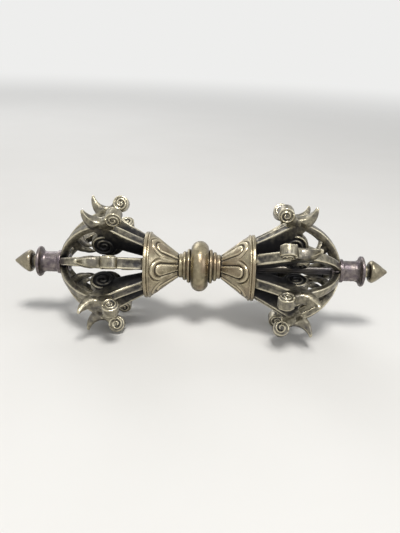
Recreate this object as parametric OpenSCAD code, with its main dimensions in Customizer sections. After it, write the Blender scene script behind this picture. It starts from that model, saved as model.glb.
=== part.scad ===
// Nine-pronged dorje: two domed cages of prongs threaded on one spindle and joined by a turned hub.
// The long axis lies along +X, +Z is up, and the origin is the middle of the hub.
// Each end is built as the right end. The left end is its mirror image.
// A prong's angle is measured round the axis, from the front (-Y) towards the top (+Z).

/* [Hub] */
// Diameter of the central bulb
bulb_d = 20.4; // [18:0.1:24]
// Width of the central bulb along the axis
bulb_w = 7; // [5:0.1:9]
// How much the bulb's crown radius exceeds half its width
bulb_crown_extra = 0.1; // [0.1:0.1:2]
// Diameter of the neck collar's largest bead
neck_d = 13.8; // [11:0.1:16]
// Length of a neck collar
neck_len = 5.1; // [4:0.1:7]
// Beads on a neck collar
neck_beads = 3; // [2:1:4]
// Depth of the grooves between the beads
neck_groove = 0.6; // [0.3:0.05:0.8]
// Width of the flat land between two beads
neck_land = 0.15; // [0.1:0.05:0.4]
// Radius that the beads lose from the bulb to the lotus
neck_taper = 2; // [0.4:0.1:2.4]

/* [Lotus cone] */
// Diameter of the cone's narrow end
lotus_small_d = 9.8; // [8:0.1:11]
// Diameter of the cone's wide end
lotus_large_d = 26; // [22:0.1:30]
// Length of the cone
lotus_len = 10.9; // [9:0.1:14]
// Petals round the cone
petal_count = 6; // [5:1:8]
// Angle of the first petal's middle
petal_angle = 9.5; // [0:0.5:60]
// Width of a petal at its round end
petal_w = 9.2; // [7:0.1:9.6]
// Width of a petal at the neck
petal_root_w = 4; // [3.6:0.1:4.4]
// Distance from a petal's round end to the rim, along the cone
petal_end_gap = 0.6; // [0.3:0.1:1.5]
// Width of the raised tongue at its round end
tongue_w = 4.6; // [4:0.1:6.2]
// Width of the raised tongue at the neck
tongue_root_w = 2.3; // [2:0.1:3]
// Distance between the round ends of the petal and its tongue
tongue_lead = 2.3; // [1:0.1:2.6]
// Width of the carved outlines
carve_w = 0.6; // [0.3:0.05:0.8]
// Depth of the carved outlines
carve_depth = 0.4; // [0.2:0.05:0.6]

/* [Rim collar] */
// How far the rim collar stands out from the cone's wide end
rim_overhang = 0.3; // [0.1:0.05:0.8]
// Length of the rim collar
rim_len = 2.2; // [1.8:0.1:4]
// Distance of the groove's middle from the lotus side
rim_groove_at = 0.8; // [0.6:0.1:1.4]
// Width of the groove round the rim
rim_groove_w = 0.4; // [0.3:0.05:0.8]
// Depth of the groove round the rim
rim_groove_depth = 0.4; // [0.2:0.05:0.8]
// Bevel on the rim's edges
rim_bevel = 0.25; // [0.1:0.05:0.5]

/* [Cage] */
// Prongs round each cage
prong_count = 8; // [6:1:8]
// Clear length of the cage, from the rim to the end collar
cage_len = 33.9; // [31:0.1:37]
// Angle of the left cage's first prong
left_angle = 22.5; // [0:0.5:45]
// Angle that the right cage is turned from the left
cage_twist = 14.5; // [0:0.5:22.5]
// Least gap between neighbouring prongs
prong_gap = 0.2; // [0.1:0.05:0.5]

/* [Prong shaft] */
// Width of the shaft
shaft_w = 4.6; // [4:0.1:5]
// Distance of the shaft's inner edge from the axis, at the rim
shaft_root_r = 6.1; // [5.8:0.1:7]
// Height of the shaft at the rim
shaft_root_h = 5.8; // [4.5:0.1:6.2]
// Width of the tenon in the rim
tenon_w = 2.4; // [1.8:0.1:2.8]
// Height of the tenon in the rim
tenon_h = 3; // [2:0.1:3.6]
// Length of the tenon in the rim
tenon_len = 1.3; // [1:0.1:1.5]

/* [Prong scrolls] */
// Diameter of the outer scroll
scroll_d = 6.4; // [5:0.1:7]
// Width of the outer scroll
scroll_w = 5.2; // [4.8:0.1:6]
// Distance of the outer scroll from the rim
scroll_at = 10.9; // [10:0.1:12]
// Distance of the outer scroll from the axis
scroll_r = 24.2; // [23:0.1:25.5]
// Diameter of the inner volute
volute_d = 10; // [8:0.1:10.4]
// Width of the inner volute
volute_w = 4.2; // [3.4:0.1:4.5]
// Distance of the inner volute from the rim
volute_at = 15.7; // [14.5:0.1:17]
// Distance of the inner volute from the axis
volute_r = 10.8; // [10.5:0.1:12]
// Width of the spiral groove in a scroll's end faces
spiral_w = 0.7; // [0.4:0.05:0.9]
// Width of the ridge between two turns of the spiral, and round its outside
spiral_ridge_w = 0.6; // [0.4:0.05:0.9]
// Depth of the spiral groove
spiral_depth = 0.4; // [0.2:0.05:0.6]

/* [Prong arch] */
// Outer radius of the arched bar
arch_r = 24.2; // [23:0.1:27]
// Distance of the arch's centre beyond the axis
arch_drop = 2; // [0:0.1:3]
// Height of the arched bar
arch_h = 2.8; // [2.2:0.1:3.4]
// Width of the arched bar at the head
arch_head_w = 4.2; // [3.4:0.1:4.5]
// Width of the arched bar at the end collar
arch_end_w = 2.7; // [2:0.1:2.8]
// Section radius of the arched bar's rounded back
arch_crown_r = 5; // [2.8:0.1:7]

/* [Prong tusk and hook] */
// Distance of the tusk's tip from the rim
tusk_tip_at = 22.6; // [21:0.1:24]
// Distance of the tusk's tip from the axis
tusk_tip_r = 27.5; // [25:0.1:29]
// Distance of the tusk's foot from the rim, on the scroll side
tusk_foot_at = 15.3; // [15:0.1:17]
// Length of the tusk's foot along the axis
tusk_foot_len = 5.4; // [4.5:0.1:6.5]
// Sag of the tusk's hollow edge
tusk_sag = 1.3; // [1:0.1:2]
// Sag of the tusk's rounded back
tusk_back_sag = 0.9; // [0.1:0.1:1.2]
// Height of the tusk's root above the arch's back
tusk_root_h = 1.3; // [0.6:0.1:1.6]
// Width of the tusk's foot
tusk_w = 4.6; // [3.6:0.1:5]
// Sag of the tusk's leaf-shaped sides
tusk_side_sag = 0.4; // [0.1:0.05:0.6]
// Distance of the hook's tip from the rim
hook_tip_at = 20.7; // [20:0.1:22]
// Distance of the hook's tip from the axis
hook_tip_r = 7; // [6.6:0.1:8]
// Distance of the hook's foot from the rim, on the head side
hook_foot_at = 26.1; // [25:0.1:27]
// Length of the hook's foot along the axis
hook_foot_len = 3.1; // [2.6:0.1:3.8]
// Sag of the hook's hollow edge
hook_sag = 1.9; // [0.6:0.1:2]
// Sag of the hook's rounded edge
hook_back_sag = 1.9; // [1:0.1:2.4]
// Width of the hook's foot
hook_w = 2.6; // [2:0.1:3]
// Width of the tusk and the hook at their tips
horn_tip_w = 1; // [0.6:0.1:1.4]
// Height of the tusk's blunt tip
tusk_tip_h = 0.9; // [0.4:0.1:1.4]

/* [End collar] */
// Length of an end collar
collar_len = 9.6; // [8:0.1:12]
// Diameter of the flange that meets the prongs
flange_d = 9.4; // [9:0.1:10.5]
// Length of that flange
flange_len = 1.6; // [1:0.1:2.2]
// Diameter of the waist
waist_d = 8.2; // [7.8:0.1:8.8]
// Diameter of the flared end
flare_d = 12.2; // [11:0.1:14]
// Length of the flared end
flare_len = 1.5; // [1:0.1:2.2]
// Bevel on the flared end
flare_bevel = 0.35; // [0.2:0.05:0.5]
// Radius of the hollow between the waist and the flared end
flare_hollow_r = 1.6; // [0.8:0.1:1.8]
// Diameter of the boss that the prongs close round
boss_d = 7.2; // [6.6:0.1:7.6]
// Length of that boss
boss_len = 3; // [2.6:0.1:4]

/* [Tip finial] */
// Length of a finial
finial_len = 9.8; // [8:0.1:12]
// Diameter of the finial's neck
finial_neck_d = 4.8; // [4:0.1:6]
// Length of the finial's neck
finial_neck_len = 2.2; // [1.2:0.1:2.6]
// Diameter of the finial's cone
finial_d = 8.9; // [8:0.1:10]
// Radius of the cone's rounded shoulder
finial_shoulder_r = 1.4; // [0.6:0.1:1.6]
// Diameter of the blunt point
finial_point_d = 0.7; // [0.4:0.1:1.2]

/* [Spindle] */
// Diameter of the spindle, which forms both central prongs
spindle_d = 3.4; // [2.8:0.1:4]
// Diameter of the pin at each end of the spindle
pin_d = 2.2; // [1.8:0.1:2.6]
// Length of the pin at each end of the spindle
pin_len = 3.6; // [2.5:0.1:4.5]
// Clearance on each side between fitted pieces
fit = 0.05; // [0.03:0.01:0.1]

/* [Hidden] */
$fn = 96;
neck_a = bulb_w / 2;
lotus_a = neck_a + neck_len;
rim_a = lotus_a + lotus_len;
cage_a = rim_a + rim_len;
collar_a = cage_a + cage_len;
finial_a = collar_a + collar_len;
reach = 2 * (finial_a + finial_len);
rim_d = lotus_large_d + 2 * rim_overhang;
sector = 360 / prong_count;
bite = 0.6;
arch_a = collar_a - sqrt(pow(arch_r, 2) - pow(flange_d / 2 + arch_drop, 2));
head_a = cage_a + tusk_foot_at;
lotus_slope = atan2((lotus_large_d - lotus_small_d) / 2, lotus_len);
lotus_slant = lotus_len / cos(lotus_slope);
sides = ["left", "right"];
prong_names = [for (side = sides) for (i = [1:prong_count]) str(side, "_prong_", i)];
turned_names = ["neck_collar", "lotus_cone", "rim_collar", "end_collar", "tip_finial"];
side_names = [for (side = sides) for (name = turned_names) str(side, "_", name)];

// Distance from the axis of the arch's back, at distance a along the axis
function arch_back(a) = sqrt(pow(arch_r, 2) - pow(a - arch_a, 2)) - arch_drop;

// Distance from the axis of the arch's hollow face, at distance a along the axis
function arch_face(a) = sqrt(pow(arch_r - arch_h, 2) - pow(a - arch_a, 2)) - arch_drop;

// Points of a shallow arc from p up to q, with its middle moved by sag to the left of that way
function sagged(p, q, sag, steps = 8) =
    let (side = [p.y - q.y, q.x - p.x] / norm(q - p))
    [for (i = [0:steps - 1]) let (t = i / steps) p + t * (q - p) + 4 * sag * t * (1 - t) * side];

// Angle of a numbered prong on one side
function prong_angle(side, i) = left_angle + (side == "right" ? cage_twist : 0) + (i - 1) * sector;

// Turns a profile, with x as radius and y as distance along the axis, about the long axis
module turned() {
    rotate([0, 90, 0]) rotate_extrude() children();
}

// A bore along the long axis, from one distance to another
module axis_bore(from, to, d) {
    translate([from, 0, 0]) rotate([0, 90, 0]) cylinder(d = d, h = to - from);
}

// Places the right end's shape on its side
module on_side(side) {
    mirror([side == "left" ? 1 : 0, 0, 0]) children();
}

// Turns a shape built in the radial plane (x along the axis, y outwards) to its angle
module at_angle(angle) {
    rotate([180 - angle, 0, 0]) children();
}

// Extrudes an outline of the radial plane to a width across it
module across(w) {
    linear_extrude(height = w, center = true) children();
}

module spindle() {
    color("#4d4436") {
        axis_bore(-finial_a, finial_a, spindle_d);
        axis_bore(-finial_a - pin_len, finial_a + pin_len, pin_d);
    }
}

module center_bulb() {
    crown_r = bulb_w / 2 + bulb_crown_extra;
    crown_at = bulb_d / 2 - crown_r;
    color("#a98d5f") difference() {
        turned() intersection() {
            union() {
                translate([crown_at, 0]) circle(crown_r);
                translate([0, -bulb_w]) square([crown_at, 2 * bulb_w]);
            }
            translate([0, -bulb_w / 2]) square([bulb_d, bulb_w]);
        }
        axis_bore(-bulb_w, bulb_w, spindle_d + 2 * fit);
    }
}

module neck_collar(side) {
    pitch = neck_len / neck_beads;
    bead_r = (pitch - neck_land) / 2;
    core_r = neck_d / 2 - neck_groove;
    color("#9d8258") on_side(side) difference() {
        translate([neck_a, 0, 0]) turned() {
            polygon([[0, 0], [core_r, 0], [core_r - neck_taper, neck_len], [0, neck_len]]);
            for (i = [0:neck_beads - 1]) {
                lost = neck_taper * i / (neck_beads - 1);
                translate([neck_d / 2 - lost - bead_r, (i + 0.5) * pitch]) circle(bead_r);
            }
        }
        axis_bore(0, lotus_a + bite, spindle_d + 2 * fit);
    }
}

// Outline of a petal or tongue: straight sides from the neck and a round end, in by inset
module tongue(root_w, end_w, end_at, inset) {
    end_r = end_w / 2 - inset;
    root_r = root_w / 2 - inset;
    polygon([[-bite, -root_r], [end_at, -end_r], [end_at, end_r], [-bite, root_r]]);
    translate([end_at, 0]) circle(end_r);
}

// The two carved outlines of one petal: the petal's own edge and the tongue inside it
module petal_lines() {
    petal_at = lotus_slant - petal_end_gap - petal_w / 2;
    tongue_at = petal_at + petal_w / 2 - tongue_lead - tongue_w / 2;
    difference() {
        tongue(petal_root_w, petal_w, petal_at, 0);
        tongue(petal_root_w, petal_w, petal_at, carve_w);
    }
    difference() {
        tongue(tongue_root_w, tongue_w, tongue_at, 0);
        tongue(tongue_root_w, tongue_w, tongue_at, carve_w);
    }
}

module lotus_body(inset) {
    translate([lotus_a, 0, 0]) rotate([0, 90, 0])
        cylinder(d1 = lotus_small_d - 2 * inset, d2 = lotus_large_d - 2 * inset, h = lotus_len);
}

module lotus_cone(side) {
    color("#a88f66") on_side(side) difference() {
        lotus_body(0);
        difference() {
            for (i = [1:petal_count]) {
                at_angle(petal_angle + (i - 1) * 360 / petal_count)
                    translate([lotus_a, lotus_small_d / 2, 0]) rotate([-90, 0, lotus_slope])
                        translate([0, 0, -lotus_small_d / 2])
                            linear_extrude(height = lotus_large_d) petal_lines();
            }
            lotus_body(carve_depth / cos(lotus_slope));
        }
        axis_bore(0, rim_a + bite, spindle_d + 2 * fit);
    }
}

// The prong's tenon, or its mortise when grown by a clearance
module tenon(grow) {
    middle_r = shaft_root_r + shaft_root_h / 2;
    translate([cage_a - tenon_len - grow, middle_r - tenon_h / 2 - grow, -tenon_w / 2 - grow])
        cube([tenon_len + grow + bite, tenon_h + 2 * grow, tenon_w + 2 * grow]);
}

module rim_collar(side) {
    rim_r = rim_d / 2;
    color("#a58a5e") on_side(side) difference() {
        translate([rim_a, 0, 0]) turned() difference() {
            polygon([
                [0, 0],
                [rim_r - rim_bevel, 0],
                [rim_r, rim_bevel],
                [rim_r, rim_len - rim_bevel],
                [rim_r - rim_bevel, rim_len],
                [0, rim_len]
            ]);
            translate([rim_r - rim_groove_depth, rim_groove_at - rim_groove_w / 2])
                square([rim_d, rim_groove_w]);
        }
        axis_bore(0, cage_a + bite, spindle_d + 2 * fit);
        for (i = [1:prong_count]) at_angle(prong_angle(side, i)) tenon(fit);
    }
}

// Straight-sided shaft, from the rim up to the head between the scroll and the volute
module prong_shaft() {
    volute_a = cage_a + volute_at;
    across(shaft_w) polygon([
        [cage_a, shaft_root_r],
        [volute_a, volute_r],
        [volute_a + volute_d / 4, volute_r + volute_d / 4],
        [head_a + 2 * bite, arch_face(head_a) + bite],
        [head_a, arch_back(head_a) - bite / 2],
        [cage_a, shaft_root_r + shaft_root_h]
    ]);
}

// A spiral groove inside a round of diameter d, made of half rings about two centres in turn
module spiral(d) {
    step = (spiral_w + spiral_ridge_w) / 2;
    first_r = d / 2 - spiral_ridge_w - spiral_w / 2;
    halves = floor((first_r - spiral_w / 2) / step);
    for (k = [0:halves]) translate([k % 2 == 0 ? 0 : -step, 0]) intersection() {
        difference() {
            circle(first_r - k * step + spiral_w / 2);
            circle(first_r - k * step - spiral_w / 2);
        }
        translate([-d, k % 2 == 0 ? 0 : -d]) square([2 * d, d]);
    }
}

// A rolled scroll: a drum across the prong with a spiral groove in each end face
module scroll(d, w) {
    difference() {
        across(w) circle(d = d);
        for (end = [-1, 1]) translate([0, 0, end * w / 2]) across(2 * spiral_depth) spiral(d);
    }
}

// The lip that curls up from the head and back into the outer scroll
module scroll_lip() {
    scroll_a = cage_a + scroll_at;
    across(scroll_w - 2 * spiral_depth - bite) polygon([
        [scroll_a, scroll_r],
        [scroll_a + scroll_d / 4, arch_back(head_a) - 2 * bite],
        [head_a + bite, arch_back(head_a) - bite],
        [head_a + bite, arch_back(head_a) + tusk_root_h],
        [scroll_a + scroll_d / 2, scroll_r]
    ]);
}

// Section of the arched bar: flat sides and face, and a rounded back
module arch_section() {
    intersection() {
        translate([arch_r - arch_h, -arch_head_w]) square([2 * arch_h, 2 * arch_head_w]);
        translate([arch_r - arch_crown_r, 0]) circle(arch_crown_r);
    }
}

// The arched bar from the head to the end collar, tapered across its width
module prong_arch() {
    from_deg = asin((boss_d / 4 + arch_drop) / arch_r);
    to_deg = acos((cage_a + scroll_at - arch_a) / arch_r);
    intersection() {
        translate([arch_a, -arch_drop, 0]) rotate([0, 0, from_deg])
            rotate_extrude(angle = to_deg - from_deg) arch_section();
        rotate([90, 0, 0]) linear_extrude(height = reach, center = true) polygon([
            [cage_a, -arch_head_w / 2],
            [head_a, -arch_head_w / 2],
            [collar_a, -arch_end_w / 2],
            [collar_a, arch_end_w / 2],
            [head_a, arch_head_w / 2],
            [cage_a, arch_head_w / 2]
        ]);
    }
}

// The tusk on the arch's back: hollow towards the scroll, with its tip leaning to the end
module prong_tusk() {
    end_a = head_a + tusk_foot_len;
    foot = [head_a, arch_back(head_a) + tusk_root_h];
    heel = [end_a, arch_back(end_a) - bite];
    tip = [cage_a + tusk_tip_at, tusk_tip_r];
    base = [heel.y - bite, tusk_w / 2];
    point = [tip.y + bite, horn_tip_w / 2];
    intersection() {
        across(2 * tusk_w) polygon(concat(
            sagged(heel, tip + [tusk_tip_h / 2, -tusk_tip_h / 2], -tusk_back_sag),
            [tip + [tusk_tip_h / 2, -tusk_tip_h / 2]],
            sagged(tip - [tusk_tip_h / 2, 0], foot, tusk_sag),
            [foot, [head_a, arch_back(head_a) - bite]]
        ));
        rotate([90, 0, 90]) linear_extrude(height = reach, center = true) polygon(concat(
            sagged([base.x, -base.y], [point.x, -point.y], -tusk_side_sag),
            [[point.x, -point.y]],
            sagged(point, base, -tusk_side_sag),
            [base]
        ));
    }
}

// The hook inside the arch: a crescent that dips towards the central prong, with its tip by the volute
module prong_hook() {
    foot_a = cage_a + hook_foot_at;
    heel_a = foot_a + hook_foot_len;
    foot = [foot_a, arch_face(foot_a) + bite];
    heel = [heel_a, arch_face(heel_a) + bite];
    tip = [cage_a + hook_tip_at, hook_tip_r];
    intersection() {
        across(2 * hook_w) polygon(concat(
            sagged(foot, tip, hook_sag),
            sagged(tip, heel, -hook_back_sag),
            [heel]
        ));
        rotate([90, 0, 0]) linear_extrude(height = reach, center = true) polygon([
            [tip.x - bite, -horn_tip_w / 2],
            [foot.x, -hook_w / 2],
            [heel.x + bite, -hook_w / 2],
            [heel.x + bite, hook_w / 2],
            [foot.x, hook_w / 2],
            [tip.x - bite, horn_tip_w / 2]
        ]);
    }
}

// One prong in the radial plane, kept inside its own sector and clear of the end collar
module prong() {
    apex = prong_gap / 2 / sin(sector / 2);
    difference() {
        intersection() {
            union() {
                prong_shaft();
                prong_arch();
                scroll_lip();
                translate([cage_a + scroll_at, scroll_r, 0]) scroll(scroll_d, scroll_w);
                translate([cage_a + volute_at, volute_r, 0]) scroll(volute_d, volute_w);
                prong_tusk();
                prong_hook();
                tenon(0);
            }
            rotate([90, 0, 90]) linear_extrude(height = reach, center = true) polygon([
                [apex, 0],
                [apex + reach, -reach * tan(sector / 2)],
                [apex + reach, reach * tan(sector / 2)]
            ]);
        }
        axis_bore(cage_a, reach, boss_d + 2 * fit);
        translate([collar_a, -reach / 2, -reach / 2]) cube(reach);
    }
}

module outer_prong(side, i) {
    color(side == "left" ? "#9a8660" : "#a08c66") on_side(side) at_angle(prong_angle(side, i)) prong();
}

module end_collar(side) {
    waist_r = waist_d / 2;
    flare_r = flare_d / 2;
    flare_at = collar_len - flare_len;
    color("#8a7a72") on_side(side) difference() {
        translate([collar_a, 0, 0]) turned() {
            translate([0, -boss_len]) square([boss_d / 2, boss_len + flange_len]);
            square([flange_d / 2, flange_len]);
            square([waist_r, collar_len]);
            difference() {
                translate([0, flare_at - flare_hollow_r])
                    square([waist_r + flare_hollow_r, flare_hollow_r + bite]);
                translate([waist_r + flare_hollow_r, flare_at - flare_hollow_r]) circle(flare_hollow_r);
            }
            polygon([
                [0, flare_at],
                [flare_r - flare_bevel, flare_at],
                [flare_r, flare_at + flare_bevel],
                [flare_r, collar_len - flare_bevel],
                [flare_r - flare_bevel, collar_len],
                [0, collar_len]
            ]);
        }
        axis_bore(0, finial_a + bite, spindle_d + 2 * fit);
    }
}

module tip_finial(side) {
    shoulder_at = finial_neck_len + finial_shoulder_r;
    color("#b09a74") on_side(side) difference() {
        translate([finial_a, 0, 0]) turned() {
            square([finial_neck_d / 2, shoulder_at]);
            translate([0, finial_neck_len]) square([finial_d / 2 - finial_shoulder_r, finial_shoulder_r]);
            translate([finial_d / 2 - finial_shoulder_r, shoulder_at]) circle(finial_shoulder_r);
            polygon([
                [0, shoulder_at],
                [finial_d / 2 - finial_shoulder_r / 4, shoulder_at + finial_shoulder_r / 2],
                [finial_point_d / 2, finial_len],
                [0, finial_len]
            ]);
        }
        axis_bore(0, finial_a + pin_len + fit, pin_d + 2 * fit);
    }
}

spindle();
center_bulb();
for (side = sides) {
    neck_collar(side);
    lotus_cone(side);
    rim_collar(side);
    end_collar(side);
    tip_finial(side);
    for (i = [1:prong_count]) {
        outer_prong(side, i);
    }
}
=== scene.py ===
"""Looks of a nine-pronged dorje: cast and carved brass, darkened in recesses by patina and painted shade, and
worn bright on edges.

Sizes are in millimetres in the classes of the pieces, and in metres in finished meshes and in the studio.
Each end is shaped as the right end, and the left end is its mirror image.
An angle round the axis is measured from the front (-Y) towards the top (+Z).
"""

import logging
import math
from collections.abc import Iterable, Iterator
from dataclasses import dataclass, field
from enum import Enum

import bmesh
import bpy
import numpy as np
from mathutils import Matrix, Vector
from mathutils.bvhtree import BVHTree


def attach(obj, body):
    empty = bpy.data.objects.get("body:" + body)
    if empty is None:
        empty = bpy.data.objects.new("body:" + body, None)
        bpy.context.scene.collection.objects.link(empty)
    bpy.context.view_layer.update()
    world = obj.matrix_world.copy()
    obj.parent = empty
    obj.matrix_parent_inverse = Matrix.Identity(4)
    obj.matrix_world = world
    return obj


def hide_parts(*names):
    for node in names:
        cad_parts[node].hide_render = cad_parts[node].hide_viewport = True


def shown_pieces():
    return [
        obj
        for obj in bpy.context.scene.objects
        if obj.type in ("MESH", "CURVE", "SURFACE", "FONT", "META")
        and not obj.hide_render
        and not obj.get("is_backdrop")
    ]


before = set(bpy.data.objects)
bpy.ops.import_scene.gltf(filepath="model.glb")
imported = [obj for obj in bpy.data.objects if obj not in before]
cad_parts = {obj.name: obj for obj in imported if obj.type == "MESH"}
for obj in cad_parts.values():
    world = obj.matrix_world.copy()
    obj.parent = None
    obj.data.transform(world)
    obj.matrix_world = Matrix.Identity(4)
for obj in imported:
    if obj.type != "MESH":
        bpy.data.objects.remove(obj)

MM = 0.001
TINY = 1e-6
LOG = logging.getLogger("dorje")
Array = np.ndarray
Numbers = np.ndarray | float
BMesh = bmesh.types.BMesh
Material = bpy.types.Material
Mesh = bpy.types.Mesh
Socket = bpy.types.NodeSocket
Source = Socket | float | tuple[float, ...]
Tree = bpy.types.NodeTree
Point = tuple[float, float]
Range = tuple[float, float]
Triple = tuple[float, float, float]
Colour = Triple
Ring = list[bmesh.types.BMVert]


class Side(Enum):
    """The two ends of the dorje, with the sign of their distance along the axis."""

    LEFT = -1
    RIGHT = 1

    @property
    def label(self) -> str:
        """Name of the side as the pieces use it."""
        return self.name.lower()


class Slot(Enum):
    """Material slots of the record."""

    HUB = "hub_brass"
    LOTUS = "lotus_brass"
    PRONG = "prong_brass"
    COLLAR = "collar_brass"
    TIP = "tip_brass"
    SPINDLE = "spindle_brass"


Materials = dict[Slot, Material]

# Sizes that several pieces share: the bore, and the places along the axis where a neck ends, a cone ends
# and an end collar's flange begins.
BORE_R = 1.75
NECK_END_A = 8.6
CONE_END_A = 19.5
FLANGE_A = 55.6


# Numbers and meshes


def blend(a: float, b: float, t: float) -> float:
    """Value at share t of the way from a to b."""
    return a + (b - a) * t


def shares(steps: int) -> list[float]:
    """Even shares of a way, from 0 to 1."""
    return [k / steps for k in range(steps + 1)]


def full_turn(count: int) -> list[float]:
    """Even angles round a circle, in radians."""
    return [2.0 * math.pi * k / count for k in range(count)]


def smoothstep(low: float, high: float, x: Numbers) -> Numbers:
    """Smooth rise from 0 at low to 1 at high."""
    t = np.clip((x - low) / (high - low), 0.0, 1.0)
    return t * t * (3.0 - 2.0 * t)


def band(x: Array, middle_and_width: Range) -> Array:
    """Soft band that is 1 at its middle and fades out over its width."""
    middle, width = middle_and_width
    return np.exp(-(((x - middle) / width) ** 2))


def add_piece(name: str, data: bpy.types.ID) -> bpy.types.Object:
    """Links a mesh, light or camera to the scene as an object at the origin.

    Args:
        name: Name of the piece.
        data: Its mesh, in metres, in its place, or its light or camera.

    Returns:
        The new object.
    """
    obj = bpy.data.objects.new(name, data)
    data.name = name
    bpy.context.scene.collection.objects.link(obj)
    return obj


def settle(mesh: Mesh, slot: Slot, node: str, materials: Materials) -> None:
    """Fixes a finished piece to the body, in place of its CAD node.

    Args:
        mesh: The finished mesh.
        slot: The record's slot that it takes its finish from.
        node: The CAD node that it stands for.
        materials: The materials by slot.
    """
    if not mesh.materials:
        mesh.materials.append(materials[slot])
    obj = add_piece(node + "_dressed", mesh)
    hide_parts(node)
    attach(obj, "root")
    LOG.info("%s: %d faces", obj.name, len(mesh.polygons))


def evaluated_mesh(obj: bpy.types.Object) -> Mesh:
    """Applies an object's modifiers.

    Args:
        obj: The object.

    Returns:
        The plain mesh that they make.
    """
    graph = bpy.context.evaluated_depsgraph_get()
    graph.update()
    shown = obj.evaluated_get(graph)
    return bpy.data.meshes.new_from_object(shown, preserve_all_data_layers=True, depsgraph=graph)


def vertex_rows(mesh: Mesh, what: str = "co") -> Array:
    """Positions or normals of a mesh's vertices.

    Args:
        mesh: The mesh.
        what: Either co, for positions, or normal.

    Returns:
        One row per vertex.
    """
    out = np.empty(len(mesh.vertices) * 3)
    mesh.vertices.foreach_get(what, out)
    return out.reshape(-1, 3)


def put_attribute(mesh: Mesh, name: str, values: Array) -> None:
    """Stores one number per vertex under a name that the finishes read."""
    layer = mesh.attributes.new(name, "FLOAT", "POINT")
    layer.data.foreach_set("value", np.ascontiguousarray(values, dtype=np.float32))


def axis_ring(bm: BMesh, a: float, r: float, turns: Iterable[float]) -> Ring:
    """Adds a ring about the long axis, or a single vertex on the axis.

    Args:
        bm: The mesh in the making, in metres.
        a: Distance along the axis.
        r: Radius of the ring.
        turns: Angles of its vertices.

    Returns:
        The new vertices.
    """
    if r < TINY:
        return [bm.verts.new((a * MM, 0.0, 0.0))]
    return [bm.verts.new((a * MM, -math.cos(t) * r * MM, math.sin(t) * r * MM)) for t in turns]


def skin(bm: BMesh, rings: list[Ring], closed: bool = False) -> None:
    """Covers rings of vertices with faces.

    Args:
        bm: The mesh in the making.
        rings: Rings in order, all of the same count, or of one vertex where they close to a point.
        closed: Whether the last ring is joined to the first.
    """
    count = max(len(ring) for ring in rings)
    for one, two in zip(rings, rings[1:] + rings[: int(closed)]):
        for k in range(count):
            n = k + 1
            corners = [one[k % len(one)], one[n % len(one)], two[n % len(two)], two[k % len(two)]]
            # Where a ring is one vertex, two corners are the same and the face is a triangle.
            bm.faces.new(list(dict.fromkeys(corners)))


def finished_mesh(bm: BMesh, name: str) -> Mesh:
    """Turns a mesh in the making into a smooth mesh whose faces point outwards.

    Args:
        bm: The mesh in the making, which is used up.
        name: Name of the new mesh.

    Returns:
        The new mesh.
    """
    bmesh.ops.recalc_face_normals(bm, faces=bm.faces)
    mesh = bpy.data.meshes.new(name)
    bm.to_mesh(mesh)
    bm.free()
    mesh.shade_smooth()
    return mesh


def convexity(mesh: Mesh, rounds: int) -> Array:
    """Signed curvature of a mesh at its vertices.

    Args:
        mesh: The mesh, in any unit.
        rounds: How often the result is averaged with its neighbours.

    Returns:
        One number per vertex in 1 / unit: above 0 on outer edges, below 0 in hollows.
    """
    co, no = vertex_rows(mesh), vertex_rows(mesh, "normal")
    ends = np.empty(len(mesh.edges) * 2, dtype=np.int64)
    mesh.edges.foreach_get("vertices", ends)
    i, j = ends.reshape(-1, 2).T
    step = co[j] - co[i]
    length2 = np.maximum((step**2).sum(axis=1), 1e-12)
    bend_i = -(no[i] * step).sum(axis=1) / length2
    bend_j = (no[j] * step).sum(axis=1) / length2
    count = np.bincount(i, minlength=len(co)) + np.bincount(j, minlength=len(co))
    count = np.maximum(count, 1)
    out = (np.bincount(i, bend_i, len(co)) + np.bincount(j, bend_j, len(co))) / count
    for _ in range(rounds):
        near = (np.bincount(i, out[j], len(co)) + np.bincount(j, out[i], len(co))) / count
        out = 0.5 * (out + near)
    return 2.0 * out


# Node trees


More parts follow.
